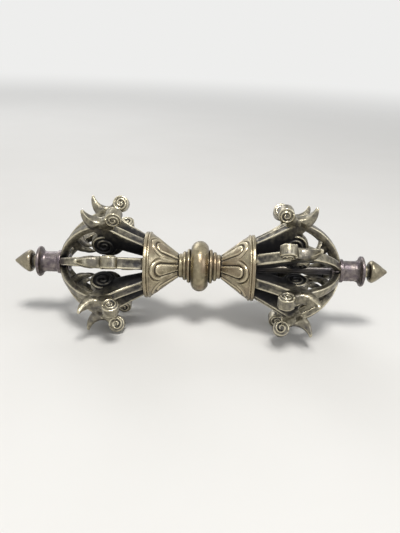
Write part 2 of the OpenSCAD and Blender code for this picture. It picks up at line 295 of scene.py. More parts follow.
class Graph:
    """Short ways to add and join nodes in one tree."""

    def __init__(self, tree: Tree) -> None:
        """Keeps the tree that the nodes go into."""
        self.tree = tree

    def node(self, kind: str, inputs: dict | None = None, **settings: object) -> bpy.types.Node:
        """Adds a node.

        Args:
            kind: Its type.
            inputs: Sockets or plain values by input name or number.
            settings: Its properties.

        Returns:
            The new node.
        """
        made = self.tree.nodes.new(kind)
        for key, value in settings.items():
            setattr(made, key, value)
        self.fill(made, inputs or {})
        return made

    def fill(self, node: bpy.types.Node, inputs: dict) -> None:
        """Feeds a node's inputs, which are given by name or number."""
        for key, source in inputs.items():
            self.feed(node.inputs[key], source)

    def feed(self, target: Socket, source: Source) -> None:
        """Sets a socket.

        Args:
            target: The socket.
            source: Another socket to link it to, or a plain value.
        """
        if isinstance(source, Socket):
            self.tree.links.new(source, target)
        else:
            target.default_value = source

    def math(self, operation: str, a: Source, b: Source, clamp: bool = False) -> Socket:
        """Adds a Math node and returns its result."""
        return self.node("ShaderNodeMath", {0: a, 1: b}, operation=operation, use_clamp=clamp).outputs[0]

    def mix(self, factor: Source, a: Source, b: Source) -> Socket:
        """Adds a colour Mix node and returns its result."""
        return self.node("ShaderNodeMix", {0: factor, 6: a, 7: b}, data_type="RGBA").outputs[2]

    def span(self, value: Source, source: Range, target: Range = (0.0, 1.0)) -> Socket:
        """Adds a smooth, clamped Map Range node.

        Args:
            value: The value.
            source: The range that it comes from.
            target: The range that it goes to.

        Returns:
            The node's result.
        """
        keys = ("Value", "From Min", "From Max", "To Min", "To Max")
        inputs = dict(zip(keys, (value, *source, *target)))
        return self.node("ShaderNodeMapRange", inputs, interpolation_type="SMOOTHSTEP").outputs[0]

    def noise(self, vector: Source, scale: Source, detail: float, rough: float = 0.55) -> Socket:
        """Adds a noise texture and returns its value."""
        inputs = {"Vector": vector, "Scale": scale, "Detail": detail, "Roughness": rough}
        return self.node("ShaderNodeTexNoise", inputs).outputs["Fac"]


class Group(Graph):
    """A node group in the making, with its inputs to read from and its outputs to feed."""

    def __init__(self, name: str, kind: str, inputs: dict[str, str], outputs: dict[str, str]) -> None:
        """Opens the group.

        Args:
            name: Name of the group.
            kind: ShaderNodeTree or GeometryNodeTree.
            inputs: Types of its inputs by their names.
            outputs: Types of its outputs by their names.
        """
        super().__init__(bpy.data.node_groups.new(name, kind))
        for way, sockets in (("INPUT", inputs), ("OUTPUT", outputs)):
            for label, sort in sockets.items():
                self.tree.interface.new_socket(name=label, in_out=way, socket_type="NodeSocket" + sort)
        self.got = self.node("NodeGroupInput").outputs
        self.out = self.node("NodeGroupOutput").inputs

    def end_shape(self, shape: Socket) -> Tree:
        """Ends a Geometry Nodes tree with real geometry in the material that it was given.

        Args:
            shape: The geometry.

        Returns:
            The finished tree.
        """
        real = self.node("GeometryNodeRealizeInstances", {0: shape})
        dressed = {"Geometry": real.outputs[0], "Material": self.got["Material"]}
        self.feed(self.out["Geometry"], self.node("GeometryNodeSetMaterial", dressed).outputs[0])
        return self.tree


def run_tree(tree: Tree, mesh: Mesh, values: dict[str, object]) -> Mesh:
    """Runs a Geometry Nodes tree on a mesh.

    Args:
        tree: The tree.
        mesh: The mesh that goes in, which is used up.
        values: The tree's inputs by name.

    Returns:
        The plain mesh that comes out.
    """
    source = add_piece("tree_source", mesh)
    modifier = source.modifiers.new("tree", "NODES")
    modifier.node_group = tree
    for item in tree.interface.items_tree:
        if item.item_type == "SOCKET" and item.in_out == "INPUT" and item.name in values:
            modifier[item.identifier] = values[item.name]
    made = evaluated_mesh(source)
    bpy.data.objects.remove(source)
    bpy.data.meshes.remove(mesh)
    return made


# Finishes


@dataclass(frozen=True)
class Patina:
    """Age of brass and painted shade: recesses darkened by patina and painted shade, blotched tarnish, bright
    rubbed edges and a drifting tint.
    """

    broad_scale: float = 0.33
    speck_scale: float = 7.0
    clouds: Range = (0.0, 1.0)
    tinted: Range = (0.42, 0.64)
    deep: Range = (0.2, 0.72)
    flecked: Range = (0.66, 0.78)
    fleck_amount: float = 0.35
    edge_clears: float = 0.85
    edge_shines: float = 0.75
    edge_lifts: float = 0.55
    ragged_amount: float = 0.4
    deep_amount: float = 0.94
    dull_costs: float = 0.6
    deep_costs: float = 0.7

    def group(self) -> Tree:
        """Builds the node group.

        Returns:
            A group with the outputs Color, Polish (0 dull to 1 bright) and Recess.
        """
        colours = {f"{name} Color": "Color" for name in ("Worn", "Tarnish", "Recess", "Tint")}
        numbers = {name: "Float" for name in ("Recess", "Edge", "Tint", "Tarnish", "Scale")}
        results = {"Color": "Color", "Polish": "Float", "Recess": "Float"}
        g = Group("aged_brass_patina", "ShaderNodeTree", {"Vector": "Vector", **numbers, **colours}, results)
        place, scale, edge = g.got["Vector"], g.got["Scale"], g.got["Edge"]
        cloud = g.noise(place, scale, detail=5.0, rough=0.6)
        broad = g.noise(place, g.math("MULTIPLY", scale, self.broad_scale), detail=2.0)
        speck = g.noise(place, g.math("MULTIPLY", scale, self.speck_scale), detail=2.0, rough=0.7)
        more = g.math("SUBTRACT", g.got["Tarnish"], 0.5)
        dull = g.math("ADD", g.span(cloud, self.clouds), more, clamp=True)
        dull = g.math("SUBTRACT", dull, g.math("MULTIPLY", edge, self.edge_clears), clamp=True)
        metal = g.mix(dull, g.got["Worn Color"], g.got["Tarnish Color"])
        tint = g.math("MULTIPLY", g.span(broad, self.tinted), g.got["Tint"], clamp=True)
        metal = g.mix(tint, metal, g.got["Tint Color"])
        metal = g.mix(g.math("MULTIPLY", edge, self.edge_shines), metal, g.got["Worn Color"])
        uneven = g.math("MULTIPLY", g.math("SUBTRACT", cloud, 0.5), self.ragged_amount)
        ragged = g.math("ADD", g.got["Recess"], uneven)
        ragged = g.math("SUBTRACT", ragged, g.math("MULTIPLY", edge, self.edge_lifts))
        # The recess mask brings in the dark recess colour, which is patina together with painted shade.
        deep = g.span(ragged, self.deep)
        metal = g.mix(g.math("MULTIPLY", deep, self.deep_amount), metal, g.got["Recess Color"])
        flecks = g.math("MULTIPLY", g.span(speck, self.flecked), self.fleck_amount)
        g.feed(g.out["Color"], g.mix(flecks, metal, g.got["Recess Color"]))
        bright = g.math("SUBTRACT", 1.0, g.math("MULTIPLY", dull, self.dull_costs))
        lost = g.math("MULTIPLY", deep, self.deep_costs)
        g.feed(g.out["Polish"], g.math("SUBTRACT", bright, lost, clamp=True))
        g.feed(g.out["Recess"], deep)
        return g.tree


@dataclass(frozen=True)
class HandlingMarks:
    """Fine relief of brass: a hand-worked unevenness, casting pits and hairline scratches."""

    wave_scale: float = 420.0
    pit_scale: float = 2600.0
    pitted: Range = (0.3, 0.44)
    hair_turn: Triple = (0.5, 0.3, 0.7)
    hair_scale: Triple = (260.0, 5200.0, 5200.0)
    scratched: Range = (0.36, 0.46)

    def group(self) -> Tree:
        """Builds the node group.

        Returns:
            A group with the output Height, in shares of the relief's depth.
        """
        numbers = {name: "Float" for name in ("Pits", "Scratches", "Unevenness")}
        inputs = {"Vector": "Vector", **numbers}
        g = Group("brass_handling_marks", "ShaderNodeTree", inputs, {"Height": "Float"})
        place = g.got["Vector"]
        wave = g.math("MULTIPLY", g.noise(place, self.wave_scale, detail=3.0), g.got["Unevenness"])
        pit = g.span(g.noise(place, self.pit_scale, detail=2.0, rough=0.65), self.pitted)
        pits = g.math("MULTIPLY", g.math("SUBTRACT", pit, 1.0), g.got["Pits"])
        drawn = {"Vector": place, "Rotation": self.hair_turn, "Scale": self.hair_scale}
        turned = g.node("ShaderNodeMapping", drawn)
        hair = g.span(g.noise(turned.outputs[0], 1.0, detail=1.0), self.scratched)
        hairs = g.math("MULTIPLY", g.math("SUBTRACT", hair, 1.0), g.got["Scratches"])
        g.feed(g.out["Height"], g.math("ADD", wave, g.math("ADD", pits, hairs)))
        return g.tree


@dataclass(frozen=True)
class BrassFinish:
    """One aged brass finish: its colours, polish and relief."""

    name: str
    worn: Colour
    tarnish: Colour
    # Dark colour of patina in recesses, also used there as painted shade, and of the small flecks.
    recess: Colour
    tint: Colour
    tint_amount: float
    tarnish_amount: float
    scale: float = 220.0
    rough_bright: float = 0.24
    rough_dull: float = 0.46
    metal_in_recess: float = 0.55
    pits: float = 0.4
    scratches: float = 0.25
    unevenness: float = 0.5
    relief: float = 0.00006
    relief_strength: float = 0.6

    def material(self, patina: Tree, handling: Tree) -> Material:
        """Builds the material of this finish.

        Args:
            patina: The shared group of patina and painted shade.
            handling: The shared relief group.

        Returns:
            The new material.
        """
        made = bpy.data.materials.new(self.name)
        made.use_nodes = True
        g = Graph(made.node_tree)
        place = g.node("ShaderNodeTexCoord").outputs["Object"]
        masks = {
            key: g.node("ShaderNodeAttribute", attribute_name=key.lower()).outputs["Fac"]
            for key in ("Recess", "Edge")
        }
        colours = {"Worn": self.worn, "Tarnish": self.tarnish, "Recess": self.recess, "Tint": self.tint}
        aged = g.node("ShaderNodeGroup", {
            "Vector": place, **masks,
            **{f"{key} Color": (*colour, 1.0) for key, colour in colours.items()},
            "Tint": self.tint_amount, "Tarnish": self.tarnish_amount, "Scale": self.scale,
        }, node_tree=patina).outputs
        marks = g.node("ShaderNodeGroup", {
            "Vector": place, "Pits": self.pits, "Scratches": self.scratches, "Unevenness": self.unevenness,
        }, node_tree=handling).outputs
        bump = {"Strength": self.relief_strength, "Distance": self.relief, "Height": marks["Height"]}
        g.fill(made.node_tree.nodes["Principled BSDF"], {
            "Base Color": aged["Color"],
            "Roughness": g.span(aged["Polish"], (0.0, 1.0), (self.rough_dull, self.rough_bright)),
            "Metallic": g.span(aged["Recess"], (0.0, 1.0), (1.0, self.metal_in_recess)),
            "Normal": g.node("ShaderNodeBump", bump).outputs["Normal"],
        })
        return made


FINISHES: dict[Slot, BrassFinish] = {
    Slot.HUB: BrassFinish(
        "hub_aged_brass", worn=(0.54, 0.467, 0.316), tarnish=(0.096, 0.081, 0.052),
        recess=(0.018, 0.0145, 0.012), tint=(0.24, 0.162, 0.108),
        tint_amount=0.5, tarnish_amount=0.58, scale=420.0,
    ),
    Slot.LOTUS: BrassFinish(
        "lotus_aged_brass", worn=(0.56, 0.489, 0.343), tarnish=(0.112, 0.095, 0.062),
        recess=(0.022, 0.0175, 0.013), tint=(0.25, 0.175, 0.118),
        tint_amount=0.4, tarnish_amount=0.56, scale=360.0,
    ),
    Slot.PRONG: BrassFinish(
        "prong_aged_brass", worn=(0.6, 0.546, 0.406), tarnish=(0.082, 0.075, 0.059),
        recess=(0.013, 0.0135, 0.018), tint=(0.095, 0.091, 0.108),
        tint_amount=0.4, tarnish_amount=0.71, scale=560.0,
    ),
    Slot.COLLAR: BrassFinish(
        "collar_aged_brass", worn=(0.46, 0.4, 0.37), tarnish=(0.06, 0.05, 0.054),
        recess=(0.015, 0.012, 0.015), tint=(0.09, 0.071, 0.096),
        tint_amount=0.55, tarnish_amount=0.66, scale=640.0,
    ),
    Slot.TIP: BrassFinish(
        "tip_aged_brass", worn=(0.53, 0.471, 0.339), tarnish=(0.098, 0.085, 0.058),
        recess=(0.018, 0.016, 0.013), tint=(0.155, 0.126, 0.1),
        tint_amount=0.35, tarnish_amount=0.57, scale=420.0,
    ),
    # The spindle is given a much darker brass than the rest, as painted shade inside the cages.
    Slot.SPINDLE: BrassFinish(
        "spindle_brass_painted_shade", worn=(0.14, 0.126, 0.102), tarnish=(0.048, 0.044, 0.041),
        recess=(0.013, 0.0125, 0.015), tint=(0.07, 0.067, 0.083),
        tint_amount=0.5, tarnish_amount=0.7,
    ),
}


# Turned pieces


@dataclass
class TurnedPiece:
    """A piece turned about the long axis from an outline of (distance along the axis, radius) points."""

    node: str
    slot: Slot
    outline: list[Point]
    side: Side = Side.RIGHT
    segments: int = 160
    step: float = 0.12
    grime: float = 0.0
    shade_slope: float = 0.8
    shade_reach: float = 3.0
    shade_depth: float = 1.5
    shade_most: float = 0.8
    worn_bend: Range = (0.9, 3.2)
    wear: float = 0.7

    def resampled(self) -> Array:
        """Divides the outline evenly.

        Returns:
            Rows of points, at most one step apart.
        """
        pts: list[Point] = [self.outline[0]]
        for p, q in zip(self.outline, self.outline[1:]):
            n = int(math.ceil(math.dist(p, q) / self.step - TINY))
            pts += [(p[0] + (q[0] - p[0]) * k / n, p[1] + (q[1] - p[1]) * k / n) for k in range(1, n + 1)]
        return np.array(pts)

    def recesses(self, pts: Array) -> Array:
        """Finds what lies below the reach of its neighbours, for patina and painted shade in grooves and
        between beads, on top of an even grime.

        Args:
            pts: Rows of outline points.

        Returns:
            One number per point, from 0 in the open to 1.
        """
        away = np.abs(pts[None, :, 0] - pts[:, None, 0])
        gap = pts[None, :, 1] - self.shade_slope * away
        reach = np.where(away < self.shade_reach, gap, -np.inf).max(axis=1)
        return self.grime + np.clip((reach - pts[:, 1]) / self.shade_depth, 0.0, self.shade_most)

    def build(self, materials: Materials) -> None:
        """Makes the turned mesh and puts it in place of its CAD node.

        Args:
            materials: The materials by slot.
        """
        pts = self.resampled()
        closed = bool(pts[0][1] > TINY and np.allclose(pts[0], pts[-1]))
        if closed:
            pts = pts[:-1]
        bm = bmesh.new()
        turns = full_turn(self.segments)
        rings = [axis_ring(bm, self.side.value * a, r, turns) for a, r in pts]
        skin(bm, rings, closed)
        mesh = finished_mesh(bm, self.node)
        # The recess mark darkens the colour with patina and painted shade, plus an even grime.
        put_attribute(mesh, "recess", np.repeat(self.recesses(pts), [len(ring) for ring in rings]))
        put_attribute(mesh, "edge", self.wear * smoothstep(*self.worn_bend, convexity(mesh, 1) * MM))
        settle(mesh, self.slot, self.node, materials)


def arc(centre: Point, radius: float, start: float, end: float, steps: int) -> list[Point]:
    """Points of an arc in the outline plane.

    Args:
        centre: Centre as (distance along the axis, radius).
        radius: Radius of the arc.
        start: Start angle in degrees, from the axis direction towards outwards.
        end: End angle in degrees.
        steps: Number of straight steps.

    Returns:
        The points, both ends included.
    """
    out: list[Point] = []
    for share in shares(steps):
        t = math.radians(blend(start, end, share))
        out.append((centre[0] + radius * math.cos(t), centre[1] + radius * math.sin(t)))
    return out


@dataclass
class Hub:
    """The turned middle: bulb, beaded necks and grooved rims."""

    bore_r: float = BORE_R
    bulb_r: float = 10.2
    bulb_w: float = 7.0
    bulb_crown_r: float = 3.6
    bulb_soft: float = 0.5
    bulb_ease: float = 0.1
    neck_r: float = 6.9
    neck_len: float = 5.1
    neck_beads: int = 3
    neck_taper: float = 2.0
    neck_groove: float = 0.6
    neck_land: float = 0.15
    neck_steps: int = 120
    rim_a: float = CONE_END_A
    rim_r: float = 13.3
    rim_len: float = 2.2
    rim_bevel: float = 0.25
    rim_groove_at: float = 0.8
    rim_groove_w: float = 0.65
    rim_groove_depth: float = 0.42
    rim_groove_power: float = 1.4
    rim_groove_steps: int = 14
    rim_step: float = 0.2
    rim_grime: float = 0.2

    def bulb_outline(self) -> list[Point]:
        """Closed outline of the bulb, with its side edges eased.

        Returns:
            Its points as (distance along the axis, radius).
        """
        half = self.bulb_w / 2
        reach = math.degrees(math.acos((half - self.bulb_ease) / self.bulb_crown_r))
        crown_at = (0.0, self.bulb_r - self.bulb_crown_r)
        crown = arc(crown_at, self.bulb_crown_r, 180.0 - reach, reach, steps=60)
        low = crown[-1][1] - self.bulb_soft
        start = (-half, self.bore_r)
        return [start, (-half, low), *crown, (half, low), (half, self.bore_r), start]

    def neck_outline(self) -> list[Point]:
        """Closed outline of a neck: round beads on a tapered core.

        Returns:
            Its points as (distance along the axis, radius).
        """
        start = self.bulb_w / 2
        pitch = self.neck_len / self.neck_beads
        bead = (pitch - self.neck_land) / 2
        pts: list[Point] = [(start, self.bore_r)]
        for t in shares(self.neck_steps):
            a = self.neck_len * t
            r = self.neck_r - self.neck_groove - self.neck_taper * a / self.neck_len
            for i in range(self.neck_beads):
                off = a - (i + 0.5) * pitch
                top = self.neck_r - self.neck_taper * i / (self.neck_beads - 1) - bead
                if abs(off) < bead:
                    r = max(r, top + math.sqrt(bead**2 - off**2))
            pts.append((start + a, r))
        return [*pts, (start + self.neck_len, self.bore_r), (start, self.bore_r)]

    def rim_outline(self) -> list[Point]:
        """Closed outline of a rim, with a round groove and soft edges.

        Returns:
            Its points as (distance along the axis, radius).
        """
        b, r, a0, a1 = self.rim_bevel, self.rim_r, self.rim_a, self.rim_a + self.rim_len
        middle, half = a0 + self.rim_groove_at, self.rim_groove_w / 2
        groove: list[Point] = []
        for t in np.linspace(-1.0, 1.0, self.rim_groove_steps + 1):
            sunk = self.rim_groove_depth * math.cos(t * math.pi / 2) ** self.rim_groove_power
            groove.append((middle + t * half, r - sunk))
        return [
            (a0, self.bore_r), (a0, r - b), *arc((a0 + b, r - b), b, 180, 90, steps=5), *groove,
            *arc((a1 - b, r - b), b, 90, 0, steps=5), (a1, self.bore_r), (a0, self.bore_r),
        ]

    def build(self, materials: Materials) -> None:
        """Makes the bulb, both necks and both rims.

        Args:
            materials: The materials by slot.
        """
        TurnedPiece("center_bulb", Slot.HUB, self.bulb_outline()).build(materials)
        for side in Side:
            TurnedPiece(f"{side.label}_neck_collar", Slot.HUB, self.neck_outline(), side).build(materials)
            TurnedPiece(
                f"{side.label}_rim_collar", Slot.LOTUS, self.rim_outline(), side,
                step=self.rim_step, grime=self.rim_grime,
            ).build(materials)


@dataclass
class EndFittings:
    """The waisted collars and the pointed tips at the ends, and the spindle through them."""

    bore_r: float = BORE_R
    collar_a: float = FLANGE_A
    collar_len: float = 9.6
    boss_r: float = 3.6
    boss_len: float = 3.0
    flange_r: float = 4.7
    flange_len: float = 1.6
    flange_inner_soft: float = 0.35
    flange_outer_soft: float = 0.4
    flange_slope: float = 0.1
    waist_r: float = 4.1
    flare_r: float = 6.1
    flare_len: float = 1.4
    flare_hollow_r: float = 2.0
    flare_hollow_end: float = 335.0
    flare_soft: float = 0.6
    tip_len: float = 9.8
    tip_neck_r: float = 2.4
    tip_neck_len: float = 2.0
    tip_shoulder_a: float = 3.6
    tip_r: float = 4.45
    tip_shoulder_r: float = 1.4
    tip_point_r: float = 0.35
    tip_swell: float = 0.35
    tip_steps: int = 20
    spindle_r: float = 1.7
    spindle_segments: int = 48
    spindle_step: float = 1.0

    def collar_outline(self) -> list[Point]:
        """Closed outline of an end collar: a flange bead, a straight waist and a flared end.

        Returns:
            Its points as (distance along the axis, radius).
        """
        a0, end = self.collar_a, self.collar_a + self.collar_len
        back, flare, flange = a0 - self.boss_len, end - self.flare_len, a0 + self.flange_len
        one, two = self.flange_inner_soft, self.flange_outer_soft
        s, hollow = self.flare_soft, self.flare_hollow_r
        return [
            (back, self.bore_r), (back, self.boss_r), (a0, self.boss_r),
            *arc((a0 + one, self.flange_r - one), one, 180, 90, steps=5),
            *arc((flange - two, self.flange_r - two), two, 90, 0, steps=5),
            (flange + self.flange_slope, self.waist_r),
            *arc((flare - hollow, self.waist_r + hollow), hollow, 270, self.flare_hollow_end, steps=12),
            *arc((flare + s, self.flare_r - s), s, 150, 90, steps=6),
            *arc((end - s, self.flare_r - s), s, 90, 0, steps=6),
            (end, self.bore_r), (back, self.bore_r),
        ]

    def tip_outline(self) -> list[Point]:
        """Outline of a pointed tip, from its neck to its blunt point.

        Returns:
            Its points as (distance along the axis, radius).
        """
        a0 = self.collar_a + self.collar_len
        end = a0 + self.tip_len
        shoulder = (a0 + self.tip_shoulder_a, self.tip_r - self.tip_shoulder_r)
        pts: list[Point] = [(a0, 0.0), (a0, self.tip_neck_r), (a0 + self.tip_neck_len, self.tip_neck_r)]
        pts += arc(shoulder, self.tip_shoulder_r, 200, 62, steps=14)
        start = pts[-1]
        for t in shares(self.tip_steps)[1:-1]:
            swell = self.tip_swell * math.sin(math.pi * t) * (1 - t)
            pts.append((blend(start[0], end, t), blend(start[1], self.tip_point_r, t) + swell))
        pts += arc((end - self.tip_point_r, 0.0), self.tip_point_r, 70, 0, steps=5)
        pts[-1] = (end, 0.0)
        return pts

    def spindle_outline(self) -> list[Point]:
        """Outline of the spindle, from end to end."""
        end = self.collar_a + self.collar_len
        return [(-end, 0.0), (-end, self.spindle_r), (end, self.spindle_r), (end, 0.0)]

    def build(self, materials: Materials) -> None:
        """Makes both collars, both tips and the spindle.

        Args:
            materials: The materials by slot.
        """
        for side in Side:
            TurnedPiece(f"{side.label}_end_collar", Slot.COLLAR, self.collar_outline(), side).build(materials)
            TurnedPiece(f"{side.label}_tip_finial", Slot.TIP, self.tip_outline(), side).build(materials)
        TurnedPiece(
            "spindle", Slot.SPINDLE, self.spindle_outline(),
            segments=self.spindle_segments, step=self.spindle_step,
        ).build(materials)


# Lotus cones


@dataclass
class LotusCone:
    """A flared cone carved with petals, each a raised tongue in a border between two grooves."""

    small_r: float = 4.9
    large_r: float = 13.0
    start_a: float = NECK_END_A
    length: float = CONE_END_A - NECK_END_A
    bore_r: float = BORE_R
    petals: int = 6
    first_angle: float = 9.5
    petal_w: float = 9.2
    petal_root_w: float = 4.0
    petal_end_gap: float = 0.75
    tongue_w: float = 4.6
    tongue_root_w: float = 2.3
    tongue_lead: float = 2.9
    inner_groove: Range = (0.4, 0.34)
    inner_depth: float = 0.52
    outer_groove: Range = (-0.1, 0.32)
    outer_depth: float = 0.4
    outer_left: float = 0.12
    outer_fade: Range = (0.42, 0.72)
    border: Range = (-0.85, 0.42)
    border_h: float = 0.1
    pillow_h: float = 0.2
    pillow_soft: float = 0.8
    sunk: float = 0.1
    inner_dark: float = 0.78
    outer_dark: float = 0.66
    neck_dark: float = 0.8
    rim_dark: float = 0.6
    tongue_edge: Range = (-0.25, 0.22)
    tongue_wear: float = 0.9
    petal_edge: Range = (0.45, 0.2)
    petal_wear: float = 0.5
    border_wear: float = 0.7
    flat_at_neck: Range = (0.0, 0.35)
    flat_at_rim: Range = (0.0, 0.3)
    dark_at_neck: Range = (0.0, 0.7)
    dark_at_rim: Range = (0.0, 0.35)
    rows: int = 130
    columns: int = 432

    @property
    def slant(self) -> float:
        """Length of the cone's side."""
        return math.hypot(self.length, self.large_r - self.small_r)

    @staticmethod
    def tongue_distance(s: Array, y: Array, root_w: float, end_w: float, end_at: float) -> Array:
        """Distance from the outline of a round-ended tongue, below 0 inside.

        Args:
            s: Distance from the neck along the cone.
            y: Distance from the tongue's middle line.
            root_w: Width at the neck.
            end_w: Width at the round end.
            end_at: Distance of the round end's centre from the neck.

        Returns:
            The distances.
        """
        fall = (end_w - root_w) / 2 / end_at
        side = (np.abs(y) - root_w / 2 - fall * s) / math.sqrt(1.0 + fall * fall)
        end = np.hypot(s - end_at, y) - end_w / 2
        past = (s - end_at) + fall * np.abs(y) > 0
        return np.where(past, end, side)

    def relief(self, s: Array, angle: Array) -> tuple[Array, Array, Array]:
        """Carving of the cone.

        Args:
            s: Distance from the neck along the cone.
            angle: Angle round the axis in degrees.

        Returns:
            Height above the cone, recess mask of patina and painted shade, and edge mask.
        """
        pitch = 360.0 / self.petals
        off = (angle - self.first_angle + pitch / 2) % pitch - pitch / 2
        r = self.small_r + (self.large_r - self.small_r) * s / self.slant
        y = r * np.sin(np.radians(off))
        petal_at = self.slant - self.petal_end_gap - self.petal_w / 2
        tongue_at = petal_at + self.petal_w / 2 - self.tongue_lead - self.tongue_w / 2
        tongue = self.tongue_distance(s, y, self.tongue_root_w, self.tongue_w, tongue_at)
        petal = self.tongue_distance(s, y, self.petal_root_w, self.petal_w, petal_at)
        fade = smoothstep(*self.outer_fade, s / self.slant)
        inner = band(tongue, self.inner_groove)
        outer = band(petal, self.outer_groove) * (self.outer_left + (1.0 - self.outer_left) * fade)
        pillow = np.where(tongue < 0, 1.0 - np.exp(tongue / self.pillow_soft), 0.0)
        border = band(petal, self.border) * fade
        carved = -self.inner_depth * inner - self.outer_depth * outer
        height = carved + self.pillow_h * pillow + self.border_h * border - self.sunk
        # Grooves darken with patina and painted shade.
        recess = np.clip(self.inner_dark * inner + self.outer_dark * outer, 0.0, 1.0)
        edge = self.tongue_wear * band(tongue, self.tongue_edge) + self.border_wear * border
        edge += self.petal_wear * band(petal, self.petal_edge) * fade
        return height, recess, np.clip(edge, 0.0, 1.0)

    def build(self, side: Side, materials: Materials) -> None:
        """Makes the carved cone of one side.

        Args:
            side: The end that it belongs to.
            materials: The materials by slot.
        """
        s = np.linspace(0.0, self.slant, self.rows)[:, None] * np.ones((1, self.columns))
        angle = np.ones((self.rows, 1)) * (np.arange(self.columns) * 360.0 / self.columns)[None, :]
        to_rim = self.slant - s
        height, recess, edge = self.relief(s, angle)
        height = height * (smoothstep(*self.flat_at_neck, s) * smoothstep(*self.flat_at_rim, to_rim))
        # The cone darkens towards its neck and its rim, with patina and painted shade where it meets those
        # pieces.
        recess = np.maximum(recess, self.neck_dark * (1.0 - smoothstep(*self.dark_at_neck, s)))
        recess = np.maximum(recess, self.rim_dark * (1.0 - smoothstep(*self.dark_at_rim, to_rim)))
        slope = math.atan2(self.large_r - self.small_r, self.length)
        a = self.start_a + s * math.cos(slope) - height * math.sin(slope)
        r = self.small_r + s * math.sin(slope) + height * math.cos(slope)
        turn = np.radians(angle)
        places = np.stack([side.value * a * MM, -np.cos(turn) * r * MM, np.sin(turn) * r * MM], axis=-1)
        bm = bmesh.new()
        rings = [[bm.verts.new(place) for place in row] for row in places]
        for at in (self.start_a + self.length, self.start_a):
            rings.append(axis_ring(bm, side.value * at, self.bore_r, turn[0]))
        skin(bm, rings, closed=True)
        name = f"{side.label}_lotus_cone"
        mesh = finished_mesh(bm, name)
        # The bore rings are fully dark, as painted shade inside.
        bore = np.ones(2 * self.columns)
        put_attribute(mesh, "recess", np.concatenate([recess.ravel(), bore]))
        put_attribute(mesh, "edge", np.concatenate([edge.ravel(), 0 * bore]))
        settle(mesh, Slot.LOTUS, name, materials)


# Prongs


@dataclass
class Station:
    """A cross-section of a bar in the radial plane, from its outer edge to its inner edge."""

    outer: Point
    inner: Point
    half_width: float
    squareness: float
    hollow: float = 0.0
    taper: float = 0.0
    hollow_share: float = 0.7

    @property
    def middle(self) -> Point:
        """Middle of the section, in the radial plane."""
        return ((self.outer[0] + self.inner[0]) / 2, (self.outer[1] + self.inner[1]) / 2)

    def ring(self, count: int) -> list[Triple]:
        """Goes round the section.

        Args:
            count: How many points to set.

        Returns:
            The points as (along the axis, outwards, across).
        """
        middle = self.middle
        half = ((self.outer[0] - self.inner[0]) / 2, (self.outer[1] - self.inner[1]) / 2)
        size = math.hypot(*half)
        power = 2.0 / self.squareness
        out = []
        for t in full_turn(count):
            c, s = math.cos(t), math.sin(t)
            u = math.copysign(abs(c) ** power, c)
            v = math.copysign(abs(s) ** power, s)
            across = self.half_width * v * (1.0 - self.taper * (1.0 - u) / 2)
            if u > 0 and self.hollow:
                u -= self.hollow / max(size, TINY) * max(0.0, 1.0 - (v / self.hollow_share) ** 4)
            out.append((middle[0] + half[0] * u, middle[1] + half[1] * u, across))
        return out


def spiral_tree() -> Tree:
    """Geometry Nodes tree of a rolled scroll's ridge: a round bead that follows a flat spiral.

    Returns:
        A tree with the inputs Turns, Outer Radius, Inner Radius, Ridge and Material.
    """
    sizes = {name: "Float" for name in ("Turns", "Outer Radius", "Inner Radius", "Ridge")}
    inputs = {"Geometry": "Geometry", **sizes, "Material": "Material"}
    g = Group("scroll_ridge", "GeometryNodeTree", inputs, {"Geometry": "Geometry"})
    spiral = g.node("GeometryNodeCurveSpiral", {
        "Resolution": 40, "Rotations": g.got["Turns"], "Start Radius": g.got["Outer Radius"],
        "End Radius": g.got["Inner Radius"], "Height": 0.0,
    })
    bead = g.node("GeometryNodeCurvePrimitiveCircle", {"Resolution": 12, "Radius": g.got["Ridge"]})
    sweep = {"Curve": spiral.outputs[0], "Profile Curve": bead.outputs[0], "Fill Caps": True}
    return g.end_shape(g.node("GeometryNodeCurveToMesh", sweep).outputs[0])


def placing_tree() -> Tree:
    """Geometry Nodes tree that sets a prong at its angle and side, with the small unevenness of hand work.

    Returns:
        A tree with the inputs Angle, Side, Mirrored, Seed, Unevenness and Material.
    """
    sizes = {name: "Float" for name in ("Angle", "Side", "Seed", "Unevenness")}
    inputs = {"Geometry": "Geometry", **sizes, "Mirrored": "Bool", "Material": "Material"}
    g = Group("prong_placing", "GeometryNodeTree", inputs, {"Geometry": "Geometry"})
    waves = {"W": g.got["Seed"], "Scale": 110.0, "Detail": 1.0}
    noise = g.node("ShaderNodeTexNoise", waves, noise_dimensions="4D")
    centre = {0: noise.outputs["Color"], 1: (0.5, 0.5, 0.5)}
    centred = g.node("ShaderNodeVectorMath", centre, operation="SUBTRACT")
    amount = {0: centred.outputs[0], "Scale": g.got["Unevenness"]}
    offset = g.node("ShaderNodeVectorMath", amount, operation="SCALE").outputs[0]
    uneven = g.node("GeometryNodeSetPosition", {"Geometry": g.got["Geometry"], "Offset": offset})
    euler = g.node("ShaderNodeCombineXYZ", {"X": g.got["Angle"]})
    turn = g.node("FunctionNodeEulerToRotation", {0: euler.outputs[0]})
    scale = g.node("ShaderNodeCombineXYZ", {"X": g.got["Side"], "Y": 1.0, "Z": 1.0})
    placed = g.node("GeometryNodeTransform", {
        "Geometry": uneven.outputs[0], "Rotation": turn.outputs[0], "Scale": scale.outputs[0],
    })
    flip = {"Mesh": placed.outputs[0], "Selection": g.got["Mirrored"]}
    return g.end_shape(g.node("GeometryNodeFlipFaces", flip).outputs[0])


def bowed(p: Point, q: Point, sag: float, t: float) -> Point:
    """Point on a shallow arc.

    Args:
        p: Start of the arc.
        q: End of the arc.
        sag: How far its middle lies to the left of the way from p to q.
        t: Share of the way.

    Returns:
        The point.
    """
    dx, dy = q[0] - p[0], q[1] - p[1]
    push = 4.0 * sag * t * (1.0 - t) / math.hypot(dx, dy)
    return (p[0] + dx * t - dy * push, p[1] + dy * t + dx * push)


def leaf(t: float, powers: Range) -> float:
    """Share of a leaf's full width at share t of its length, by the powers of its curve."""
    return (1.0 - t ** powers[0]) ** powers[1]


